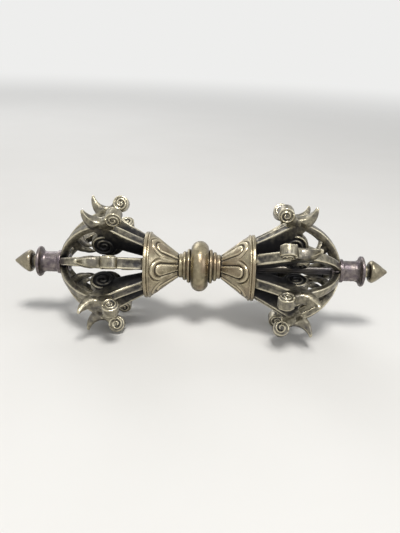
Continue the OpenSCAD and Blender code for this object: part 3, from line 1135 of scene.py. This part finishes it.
@dataclass(frozen=True)
class Roll:
    """A rolled scroll across a prong: a drum whose ends have a spiral ridge from its edge to a small eye."""

    centre: Point
    radius: float
    half: float
    soft: float
    ridge: float
    rise: float
    turns: float
    start: float
    eye: float = 1.1
    count: int = 56

    def drum(self, bm: BMesh) -> None:
        """Adds the drum, whose edges are rounded.

        Args:
            bm: The mesh in the making.
        """
        outline = [(0.0, -self.half)]
        for t in np.linspace(0, math.pi / 2, num=7):
            r = self.radius - self.soft + self.soft * math.sin(t)
            outline.append((r, -self.half + self.soft - self.soft * math.cos(t)))
        outline += [(r, -z) for r, z in reversed(outline)]
        turns = full_turn(self.count)
        x, y = self.centre
        rings = []
        for r, z in outline:
            around = turns if r > TINY else turns[:1]
            rings.append([bm.verts.new((x + r * math.cos(t), y + r * math.sin(t), z)) for t in around])
        skin(bm, rings)

    def ridges(self, bm: BMesh, tree: Tree) -> None:
        """Adds the spiral ridge to both ends of the drum.

        Args:
            bm: The mesh in the making.
            tree: The Geometry Nodes tree of the ridge.
        """
        mesh = run_tree(tree, bpy.data.meshes.new("scroll_ridge_seed"), {
            "Turns": self.turns, "Outer Radius": self.radius - self.ridge,
            "Inner Radius": self.ridge * self.eye, "Ridge": self.ridge,
        })
        x, y, z = vertex_rows(mesh).T
        faces = [tuple(face.vertices) for face in mesh.polygons]
        bpy.data.meshes.remove(mesh)
        c, s = math.cos(math.radians(self.start)), math.sin(math.radians(self.start))
        along, out = self.centre[0] + (x * c - y * s), self.centre[1] + (x * s + y * c)
        for end in (-1, 1):
            across = end * (self.half + self.rise) + z
            verts = [bm.verts.new(place) for place in zip(along, out, across)]
            for face in faces:
                bm.faces.new([verts[k] for k in face])


@dataclass
class ProngShape:
    """Shape of one outer prong in the radial plane: shaft, scrolls, arch, tusk and hook."""

    root_a: float = 21.3
    shaft_r: float = 6.1
    shaft_h: float = 5.8
    shaft_half: float = 2.3
    shaft_bow: float = 0.35
    shaft_drop: float = 0.6
    shaft_count: int = 64
    shaft_channel: float = 0.65
    shaft_channel_ends: Range = (7.0, 3.2)
    shaft_thinning: float = 0.42
    shaft_thins: Range = (0.4, 0.85)
    shaft_head_drop: float = 0.3
    head_a: float = 37.0
    scroll: Roll = Roll(
        centre=(32.6, 24.2), radius=3.2, half=2.1, soft=0.35, ridge=0.4, rise=0.1, turns=1.7, start=20.0,
    )
    volute: Roll = Roll(
        centre=(37.4, 10.8), radius=5.0, half=1.55, soft=0.4, ridge=0.48, rise=0.05, turns=2.2, start=100.0,
    )
    arch_centre: Point = (32.35, -2.0)
    arch_r: float = 24.2
    arch_h: float = 2.8
    arch_half: float = 2.1
    arch_end_half: float = 1.35
    arch_end_r: float = 1.9
    collar_a: float = FLANGE_A
    collar_gap: float = 0.02
    tusk_tip: Point = (44.3, 27.5)
    tusk_foot_len: float = 5.4
    tusk_sink: float = 0.6
    tusk_half: float = 2.4
    tusk_tip_half: float = 0.5
    tusk_root_h: float = 1.3
    tusk_tip_h: float = 0.9
    tusk_sag: float = -1.3
    tusk_back_sag: float = -0.9
    tusk_dish: float = 0.3
    tusk_leaf: Range = (1.3, 0.9)
    tusk_round: Range = (0.9, 0.1)
    tusk_blunt: float = 0.04
    tusk_root: tuple[Point, Point] = ((0.2, -0.9), (-0.3, -0.6))
    hook_tip: Point = (42.4, 7.0)
    hook_feet: Range = (47.8, 50.9)
    hook_half: float = 1.3
    hook_tip_half: float = 0.2
    hook_sag: float = 1.9
    hook_sink: float = 0.7
    hook_leaf: Range = (2.2, 0.7)
    web_back_a: float = 36.2
    web_half: Range = (1.3, 2.0)
    web_widens: Range = (14.8, 17.6)
    web_edge: tuple[Point, ...] = (
        (41.9, 19.6), (41.0, 18.2), (40.1, 17.4), (39.7, 16.9), (39.6, 16.4),
        (39.7, 15.9), (40.1, 15.3), (40.7, 14.6), (41.0, 13.2),
    )
    lip_half: float = 2.25
    lip_outer_head: tuple[Point, ...] = ((1.4, 0.6), (0.2, 1.35))
    lip_outer_scroll: tuple[Point, ...] = ((3.6, -0.6), (3.1, 0.6), (2.6, 1.6), (1.2, 1.6))
    lip_inner_head: tuple[Point, ...] = ((0.6, -2.4), (-0.4, -2.6), (-1.8, -1.9))
    lip_inner_scroll: tuple[Point, ...] = ((1.4, -3.6), (-0.4, -2.6), (-0.8, -1.2))
    voxel: float = 0.14
    ease_factor: float = 0.5
    ease_rounds: int = 3
    triangles: int = 44000
    sector: float = 45.0
    gap: float = 0.2
    least_half: float = 0.05
    bm: BMesh = field(default_factory=bmesh.new, repr=False)

    def arch_at(self, a: float, depth: float = 0.0) -> float:
        """Distance from the axis of the arch's back, or of a level below it, at a place along the axis."""
        reach = (self.arch_r - depth) ** 2 - (a - self.arch_centre[0]) ** 2
        return math.sqrt(max(reach, 0.0)) + self.arch_centre[1]

    def loft(self, stations: list[Station], count: int = 40) -> None:
        """Adds a closed bar.

        Args:
            stations: Its sections in order.
            count: Points round a section.
        """
        rings = [[self.bm.verts.new(p) for p in station.ring(count)] for station in stations]
        skin(self.bm, rings)
        for end in (0, -1):
            pole = self.bm.verts.new((*stations[end].middle, 0.0))
            skin(self.bm, [rings[end], [pole]])

    def shaft_line(self, a: Numbers) -> Numbers:
        """Line of the shaft's outer edges.

        Args:
            a: Places along the axis.

        Returns:
            Distances from the axis at those places.
        """
        t = (a - self.root_a) / (self.head_a - self.root_a)
        root, head = self.shaft_r + self.shaft_h, self.arch_at(self.head_a) - self.shaft_head_drop
        return root + (head - root) * t - self.shaft_bow * np.sin(np.pi * t)

    def shaft(self) -> Iterator[Station]:
        """The shaft, a square bar with a shallow channel along its outer face.

        Returns:
            Its sections in order.
        """
        root, head = (self.root_a, self.shaft_r), self.volute.centre
        first, last = self.shaft_channel_ends
        for t in shares(steps=24):
            along = blend(self.root_a, self.head_a, t)
            outer = (along, float(self.shaft_line(along)))
            bow = self.shaft_bow * math.sin(math.pi * t)
            inner = (blend(root[0], head[0], t), blend(root[1], head[1] - self.shaft_drop, t) + bow)
            channel = self.shaft_channel * min(1.0, first * t) * min(1.0, last * (1 - t))
            taper = self.shaft_thinning * float(smoothstep(*self.shaft_thins, t))
            yield Station(outer, inner, self.shaft_half, squareness=9.0, hollow=channel, taper=taper)

    def arch(self) -> Iterator[Station]:
        """The arched bar from the head to the end collar.

        Returns:
            Its sections in order.
        """
        x, y = self.arch_centre
        first = math.acos((self.scroll.centre[0] - x) / self.arch_r)
        last = math.asin((self.arch_end_r - y) / self.arch_r)
        low = self.arch_r - self.arch_h
        for share in shares(steps=48):
            t = blend(first, last, share)
            c, s = math.cos(t), math.sin(t)
            outer, inner = (x + self.arch_r * c, y + self.arch_r * s), (x + low * c, y + low * s)
            along = (outer[0] - self.head_a) / (self.collar_a - self.head_a)
            half = blend(self.arch_half, self.arch_end_half, min(max(along, 0.0), 1.0))
            yield Station(outer, inner, half, squareness=5.5)

    def tusk(self) -> Iterator[Station]:
        """The tusk, a pointed leaf that is hollowed like a spoon on the side of the scroll.

        Returns:
            Its sections in order.
        """
        back, end = self.arch_at(self.head_a), self.head_a + self.tusk_foot_len
        foot, heel = (self.head_a, back + self.tusk_root_h), (end, self.arch_at(end) - self.tusk_sink)
        blunt = self.tusk_tip_h / 2
        tip_in = (self.tusk_tip[0] - blunt, self.tusk_tip[1])
        tip_back = (self.tusk_tip[0] + blunt, self.tusk_tip[1] - blunt)
        # A first section inside the arch roots the tusk in it.
        (a0, r0), (a1, r1) = self.tusk_root
        inside = ((self.head_a + a0, back + r0), (heel[0] + a1, heel[1] + r1))
        yield Station(*inside, self.arch_half, squareness=3.5)
        start, length = self.tusk_round
        for t in shares(steps=32):
            hollow = bowed(foot, tip_in, self.tusk_sag, t)
            outside = bowed(heel, tip_back, self.tusk_back_sag, t)
            # The leaf narrows along a curve, and its last tenth is rounded off.
            round_end = math.sqrt(max(self.tusk_blunt, 1.0 - max(0.0, (t - start) / length) ** 2))
            half = blend(self.tusk_tip_half, self.tusk_half, leaf(t, self.tusk_leaf)) * round_end
            dish = self.tusk_dish * math.sin(math.pi * t)
            yield Station(hollow, outside, half, squareness=2.5, hollow=dish)

    def hook(self) -> Iterator[Station]:
        """The hook, a thin crescent that dips towards the spindle.

        Returns:
            Its sections in order.
        """
        foot, heel = ((a, self.arch_at(a, self.arch_h) + self.hook_sink) for a in self.hook_feet)
        for t in shares(steps=24):
            hollow, outside = (bowed(p, self.hook_tip, self.hook_sag, t) for p in (foot, heel))
            half = max(self.hook_tip_half, self.hook_half * leaf(t, self.hook_leaf))
            yield Station(hollow, outside, half, squareness=2.3)

    def web(self) -> Iterator[Station]:
        """The web between arch and volute, which rounds the opening behind the head.

        Returns:
            Its sections in order.
        """
        for a, r in self.web_edge:
            half = blend(*self.web_half, float(smoothstep(*self.web_widens, r)))
            yield Station((a, r), (self.web_back_a, r), half, squareness=6.0)

    def lip(self) -> Iterator[Station]:
        """The lip that curls up from the head into the outer scroll.

        Its edges are given by steps from the head's back, and then by steps from the scroll's centre.

        Returns:
            Its sections in order.
        """
        head, scroll = (self.head_a, self.arch_at(self.head_a)), self.scroll.centre
        edges = []
        for from_head, from_scroll in (
            (self.lip_outer_head, self.lip_outer_scroll), (self.lip_inner_head, self.lip_inner_scroll),
        ):
            edge = [(head[0] + a, head[1] + r) for a, r in from_head]
            edges.append(edge + [(scroll[0] + a, scroll[1] + r) for a, r in from_scroll])
        for outer, inner in zip(*edges):
            yield Station(outer, inner, self.lip_half, squareness=4.0)

    def prototype(self, tree: Tree) -> Mesh:
        """Shapes one prong and blends its parts into one skin.

        Args:
            tree: The Geometry Nodes tree of the scroll's ridge.

        Returns:
            The mesh in millimetres, in the radial plane of the right end.
        """
        self.loft(list(self.shaft()), self.shaft_count)
        for part in (self.arch, self.tusk, self.hook, self.web, self.lip):
            self.loft(list(part()))
        for roll in (self.scroll, self.volute):
            roll.drum(self.bm)
            roll.ridges(self.bm, tree)
        obj = add_piece("prong_parts", finished_mesh(self.bm, "prong_parts"))
        whole = obj.modifiers.new("skin", "REMESH")
        whole.mode = "VOXEL"
        whole.voxel_size = self.voxel
        whole.use_smooth_shade = True
        ease = obj.modifiers.new("ease", "SMOOTH")
        ease.factor = self.ease_factor
        ease.iterations = self.ease_rounds
        dense = evaluated_mesh(obj)
        count = sum(len(face.vertices) - 2 for face in dense.polygons)
        bpy.data.meshes.remove(dense)
        thin = obj.modifiers.new("thin", "DECIMATE")
        thin.ratio = min(1.0, self.triangles / count)
        mesh = evaluated_mesh(obj)
        bpy.data.objects.remove(obj)
        self.keep_in_sector(mesh)
        mesh.shade_smooth()
        return mesh

    def keep_in_sector(self, mesh: Mesh) -> None:
        """Moves points that stand past the prong's own sector back to it, so that neighbours don't touch.

        Args:
            mesh: The prong, in millimetres.
        """
        co = vertex_rows(mesh)
        room = co[:, 1] * math.tan(math.radians(self.sector / 2)) - self.gap / 2
        room = np.maximum(room, self.least_half)
        co[:, 2] = np.clip(co[:, 2], -room, room)
        co[:, 0] = np.minimum(co[:, 0], self.collar_a - self.collar_gap)
        mesh.vertices.foreach_set("co", co.ravel())
        mesh.update()


@dataclass
class ProngWearAndShade:
    """Where a prong is darkened by patina and painted shade, and where handling has rubbed it bright."""

    shape: ProngShape
    rays: int = 22
    ray_spread: float = 0.92
    ray_start: float = 0.08
    reaches: Triple = (6.0, 10.0, 10.0)
    far_share: float = 0.5
    shut: Range = (0.1, 0.8)
    inward: Range = (0.15, 0.9)
    inward_dark: float = 0.3
    hollow: Range = (0.35, 1.6)
    hollow_dark: float = 0.4
    flank: Range = (0.6, 0.95)
    flank_dark: float = 0.45
    flank_fades: float = 0.7
    flank_ends_r: Range = (18.0, 22.0)
    flank_ends_a: Range = (38.0, 42.0)
    bed_dark: float = 0.4
    bed_faces: Range = (0.3, 0.7)
    bed_starts: Range = (0.15, 0.45)
    bed_ends: Range = (1.2, 1.8)
    bed_half: Range = (1.2, 1.7)
    bed_ends_a: Range = (33.5, 35.5)
    arch_band: Range = (1.7, 0.5)
    arch_starts_a: Range = (38.0, 40.0)
    rubbed_r: Range = (11.0, 18.0)
    rubbed_least: float = 0.35
    inner_shade: float = 0.35
    darkest: float = 0.92
    edge_bend: Range = (0.28, 1.0)
    edge_dulled: float = 0.5

    def closeness(self, co: Array, no: Array, faces: list[tuple[int, ...]]) -> Array:
        """How much of the view from each point the prong and its two neighbours close off, for painted shade.

        Args:
            co: Positions of the prong's vertices.
            no: Their normals.
            faces: The prong's faces.

        Returns:
            One number per vertex, from 0 in the open to 1.
        """
        trees = []
        for turn in (0.0, self.shape.sector, -self.shape.sector):
            spin = np.array(Matrix.Rotation(math.radians(turn), 3, "X"))
            trees.append(BVHTree.FromPolygons((co @ spin.T).tolist(), faces))
        golden = math.pi * (3.0 - math.sqrt(5.0))
        rays = []
        for k in range(self.rays):
            z = 1.0 - (k + 0.5) / self.rays * self.ray_spread
            ring = math.sqrt(1.0 - z * z)
            rays.append((ring * math.cos(golden * k), ring * math.sin(golden * k), z))
        closed = np.zeros(len(co))
        for i in range(len(co)):
            n = Vector(no[i])
            side = n.orthogonal().normalized()
            up = n.cross(side)
            start = Vector(co[i]) + n * self.ray_start
            for x, y, z in rays:
                way = side * x + up * y + n * z
                for tree, reach in zip(trees, self.reaches):
                    hit = tree.ray_cast(start, way, reach)
                    if hit[0] is not None:
                        closed[i] += 1.0 - self.far_share * hit[3] / reach
                        break
        return closed / self.rays

    def mark(self, mesh: Mesh) -> None:
        """Stores the recess marks, patina with painted shade, and the edge marks of a prong.

        Args:
            mesh: The prong, in millimetres.
        """
        co, no = vertex_rows(mesh), vertex_rows(mesh, "normal")
        along, out, across = co.T
        closed = self.closeness(co, no, [tuple(face.vertices) for face in mesh.polygons])
        bend = convexity(mesh, 3)
        inward = smoothstep(*self.inward, -no[:, 1])
        hollow = smoothstep(*self.hollow, -bend)
        flank = smoothstep(*self.flank, np.abs(no[:, 2])) * (1.0 - smoothstep(*self.flank_ends_r, out))
        flank *= 1.0 - self.flank_fades * smoothstep(*self.flank_ends_a, along)
        sunk = self.shape.shaft_line(along) - out
        bed = smoothstep(*self.bed_faces, no[:, 1]) * smoothstep(*self.bed_starts, sunk)
        bed *= 1.0 - smoothstep(*self.bed_ends, sunk)
        bed *= 1.0 - smoothstep(*self.bed_half, np.abs(across))
        bed *= 1.0 - smoothstep(*self.bed_ends_a, along)
        # Occlusion, faces turned to the axis, hollows, flanks between prongs and the shaft's channel darken
        # the colour: painted shade, with patina.
        recess = smoothstep(*self.shut, closed) + self.inward_dark * inward + self.hollow_dark * hollow
        recess = recess + self.flank_dark * flank + self.bed_dark * bed
        x, y = self.shape.arch_centre
        low, high = (self.shape.arch_r - depth for depth in self.arch_band)
        handled = smoothstep(low, high, np.hypot(along - x, out - y)) * smoothstep(*self.arch_starts_a, along)
        # Parts near the axis, inside the cage, get painted shade; outer parts and the arch's back get rubbed
        # edges instead.
        outer = np.maximum(handled, smoothstep(*self.rubbed_r, out))
        rubbed = self.rubbed_least + (1.0 - self.rubbed_least) * outer
        recess = np.clip(recess + self.inner_shade * (1.0 - rubbed), 0.0, self.darkest)
        put_attribute(mesh, "recess", recess)
        edge = rubbed * smoothstep(*self.edge_bend, bend)
        put_attribute(mesh, "edge", edge * (1.0 - self.edge_dulled * recess))


@dataclass
class Cage:
    """The ring of eight prongs at one end."""

    side: Side
    prongs: int = 8
    left_angle: float = 22.5
    twist: float = 14.5
    unevenness: float = 0.00028
    seed_step: float = 3.7
    seed_side: float = 40.0

    def angle(self, number: int) -> float:
        """Angle of a numbered prong, in degrees."""
        start = self.left_angle + (self.twist if self.side is Side.RIGHT else 0.0)
        return start + (number - 1) * 360.0 / self.prongs

    def build(self, shape: Mesh, placing: Tree, materials: Materials) -> None:
        """Places the prongs of this end.

        Args:
            shape: The prong's shape in the radial plane, in metres.
            placing: The Geometry Nodes tree that places it.
            materials: The materials by slot.
        """
        for number in range(1, self.prongs + 1):
            mesh = run_tree(placing, shape.copy(), {
                "Angle": math.radians(180.0 - self.angle(number)),
                "Side": float(self.side.value),
                "Mirrored": self.side is Side.LEFT,
                "Seed": self.seed_step * number + self.seed_side * self.side.value,
                "Unevenness": self.unevenness,
                "Material": materials[Slot.PRONG],
            })
            mesh.shade_smooth()
            settle(mesh, Slot.PRONG, f"{self.side.label}_prong_{number}", materials)


# Studio


def seen_directly(g: Graph) -> Socket:
    """Tells the rays of the camera, of gloss and through glass from the rest.

    Args:
        g: The graph to work in.

    Returns:
        A mask that is 1 for those rays and 0 for the rest.
    """
    path = g.node("ShaderNodeLightPath").outputs
    bounced = g.math("MAXIMUM", path["Is Glossy Ray"], path["Is Transmission Ray"])
    return g.math("MAXIMUM", path["Is Camera Ray"], bounced)


@dataclass(frozen=True)
class Lamp:
    """A soft square light that faces the object."""

    name: str
    place: Triple
    energy: float
    size: float
    tone: Colour = (1.0, 1.0, 1.0)

    def hang(self) -> None:
        """Adds the light to the scene."""
        data = bpy.data.lights.new(self.name, "AREA")
        data.energy = self.energy
        data.size = self.size
        data.color = self.tone
        look = Vector(self.place).to_track_quat("Z", "Y").to_matrix().to_4x4()
        add_piece(self.name, data).matrix_world = Matrix.Translation(self.place) @ look


LAMPS: tuple[Lamp, ...] = (
    Lamp("key", (0.06, -0.34, 0.74), energy=5.2, size=0.2, tone=(1.0, 0.98, 0.94)),
    Lamp("side", (0.7, -0.35, 0.35), energy=1.2, size=0.4, tone=(0.94, 0.96, 1.0)),
    Lamp("rim", (-0.3, 0.6, 0.45), energy=1.4, size=0.4),
)


@dataclass
class Studio:
    """Pale floor, soft lights and the camera at the photo's viewing angle."""

    distance: float = 0.234
    focal_px: float = 580.0
    elevation: float = 21.87
    azimuth: float = 1.44
    roll: float = 1.35
    frame_px: float = 533.0
    shift_px: Point = (0.2, -0.33)
    nearest: float = 0.005
    floor_half: float = 6.0
    floor_gap: float = 0.00005
    floor_dark: Colour = (0.74, 0.735, 0.72)
    floor_light: Colour = (0.79, 0.785, 0.775)
    floor_cloud: float = 14.0
    floor_rough: float = 0.85
    floor_shine: float = 0.15
    floor_fades: Range = (0.12, 1.5)
    surround: Colour = (0.93, 0.93, 0.92)
    surround_strength: float = 0.92
    surround_fill: float = 0.35

    def camera(self) -> None:
        """Sets up the camera."""
        e, z = math.radians(self.elevation), math.radians(self.azimuth)
        back = Vector((math.sin(z) * math.cos(e), -math.cos(z) * math.cos(e), math.sin(e)))
        data = bpy.data.cameras.new("camera")
        data.lens = self.focal_px * data.sensor_width / self.frame_px
        data.shift_x = self.shift_px[0] / self.frame_px
        data.shift_y = self.shift_px[1] / self.frame_px
        data.clip_start = self.nearest
        obj = add_piece("camera", data)
        look = (-back).to_track_quat("-Z", "Y").to_matrix().to_4x4()
        roll = Matrix.Rotation(math.radians(self.roll), 4, "Z")
        obj.matrix_world = Matrix.Translation(back * self.distance) @ look @ roll
        bpy.context.scene.camera = obj

    def floor_mesh(self) -> Mesh:
        """Flat floor against the lowest points of both ends.

        Returns:
            Its mesh.
        """
        low: dict[Side, Point] = {side: (0.0, 1.0) for side in Side}
        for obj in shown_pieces():
            if obj.type != "MESH" or "_prong_" not in obj.name:
                continue
            co = vertex_rows(obj.data)
            x, _, z = (float(v) for v in co[co[:, 2].argmin()])
            side = Side.LEFT if x < 0 else Side.RIGHT
            if z < low[side][1]:
                low[side] = (x, z)
        (x0, z0), (x1, z1) = low[Side.LEFT], low[Side.RIGHT]
        tilt = (z1 - z0) / (x1 - x0)
        h = self.floor_half
        mesh = bpy.data.meshes.new("floor")
        corners = [(-h, -h), (h, -h), (h, h), (-h, h)]
        places = [(x, y, z0 + tilt * (x - x0) - self.floor_gap) for x, y in corners]
        mesh.from_pydata(places, [], [(0, 1, 2, 3)])
        return mesh

    def floor_material(self) -> Material:
        """Pale matt finish that goes over into the surround away from the object.

        Returns:
            The new material.
        """
        made = bpy.data.materials.new("pale_floor")
        made.use_nodes = True
        g = Graph(made.node_tree)
        nodes = made.node_tree.nodes
        place = g.node("ShaderNodeTexCoord").outputs["Object"]
        cloud = g.noise(place, self.floor_cloud, detail=4.0)
        g.fill(nodes["Principled BSDF"], {
            "Base Color": g.mix(cloud, (*self.floor_dark, 1.0), (*self.floor_light, 1.0)),
            "Roughness": self.floor_rough, "Specular IOR Level": self.floor_shine,
        })
        away = g.node("ShaderNodeVectorMath", {0: place}, operation="LENGTH").outputs["Value"]
        far = g.math("MULTIPLY", g.span(away, self.floor_fades), seen_directly(g))
        light = {"Color": (*self.surround, 1.0), "Strength": self.surround_strength}
        glow = g.node("ShaderNodeEmission", light)
        parts = {0: far, 1: nodes["Principled BSDF"].outputs[0], 2: glow.outputs[0]}
        g.feed(nodes["Material Output"].inputs["Surface"], g.node("ShaderNodeMixShader", parts).outputs[0])
        return made

    def floor(self) -> None:
        """Lays the floor."""
        mesh = self.floor_mesh()
        mesh.materials.append(self.floor_material())
        add_piece("floor", mesh)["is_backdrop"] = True

    def world(self) -> None:
        """Makes a pale surround that the camera and the metal see, with a gentler light on the rest."""
        made = bpy.data.worlds.new("studio")
        bpy.context.scene.world = made
        made.use_nodes = True
        g = Graph(made.node_tree)
        back = made.node_tree.nodes["Background"].inputs
        g.feed(back["Color"], (*self.surround, 1.0))
        extra = g.math("MULTIPLY", seen_directly(g), self.surround_strength - self.surround_fill)
        g.feed(back["Strength"], g.math("ADD", extra, self.surround_fill))

    def build(self) -> None:
        """Sets up the floor, lights, surround and camera."""
        self.floor()
        for lamp in LAMPS:
            lamp.hang()
        self.world()
        self.camera()
        bpy.context.scene.view_settings.view_transform = "Standard"


def main() -> None:
    """Builds every sub-assembly, dresses it and sets the stage."""
    logging.basicConfig(level=logging.INFO, format="%(name)s %(message)s")
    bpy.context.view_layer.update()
    patina, handling = Patina().group(), HandlingMarks().group()
    materials = {slot: finish.material(patina, handling) for slot, finish in FINISHES.items()}
    Hub().build(materials)
    for side in Side:
        LotusCone().build(side, materials)
    EndFittings().build(materials)
    prong = ProngShape()
    shape = prong.prototype(spiral_tree())
    ProngWearAndShade(prong).mark(shape)
    shape.transform(Matrix.Scale(MM, 4))
    placing = placing_tree()
    for side in Side:
        Cage(side).build(shape, placing, materials)
    bpy.data.meshes.remove(shape)
    Studio().build()


if __name__ == "__main__":
    main()
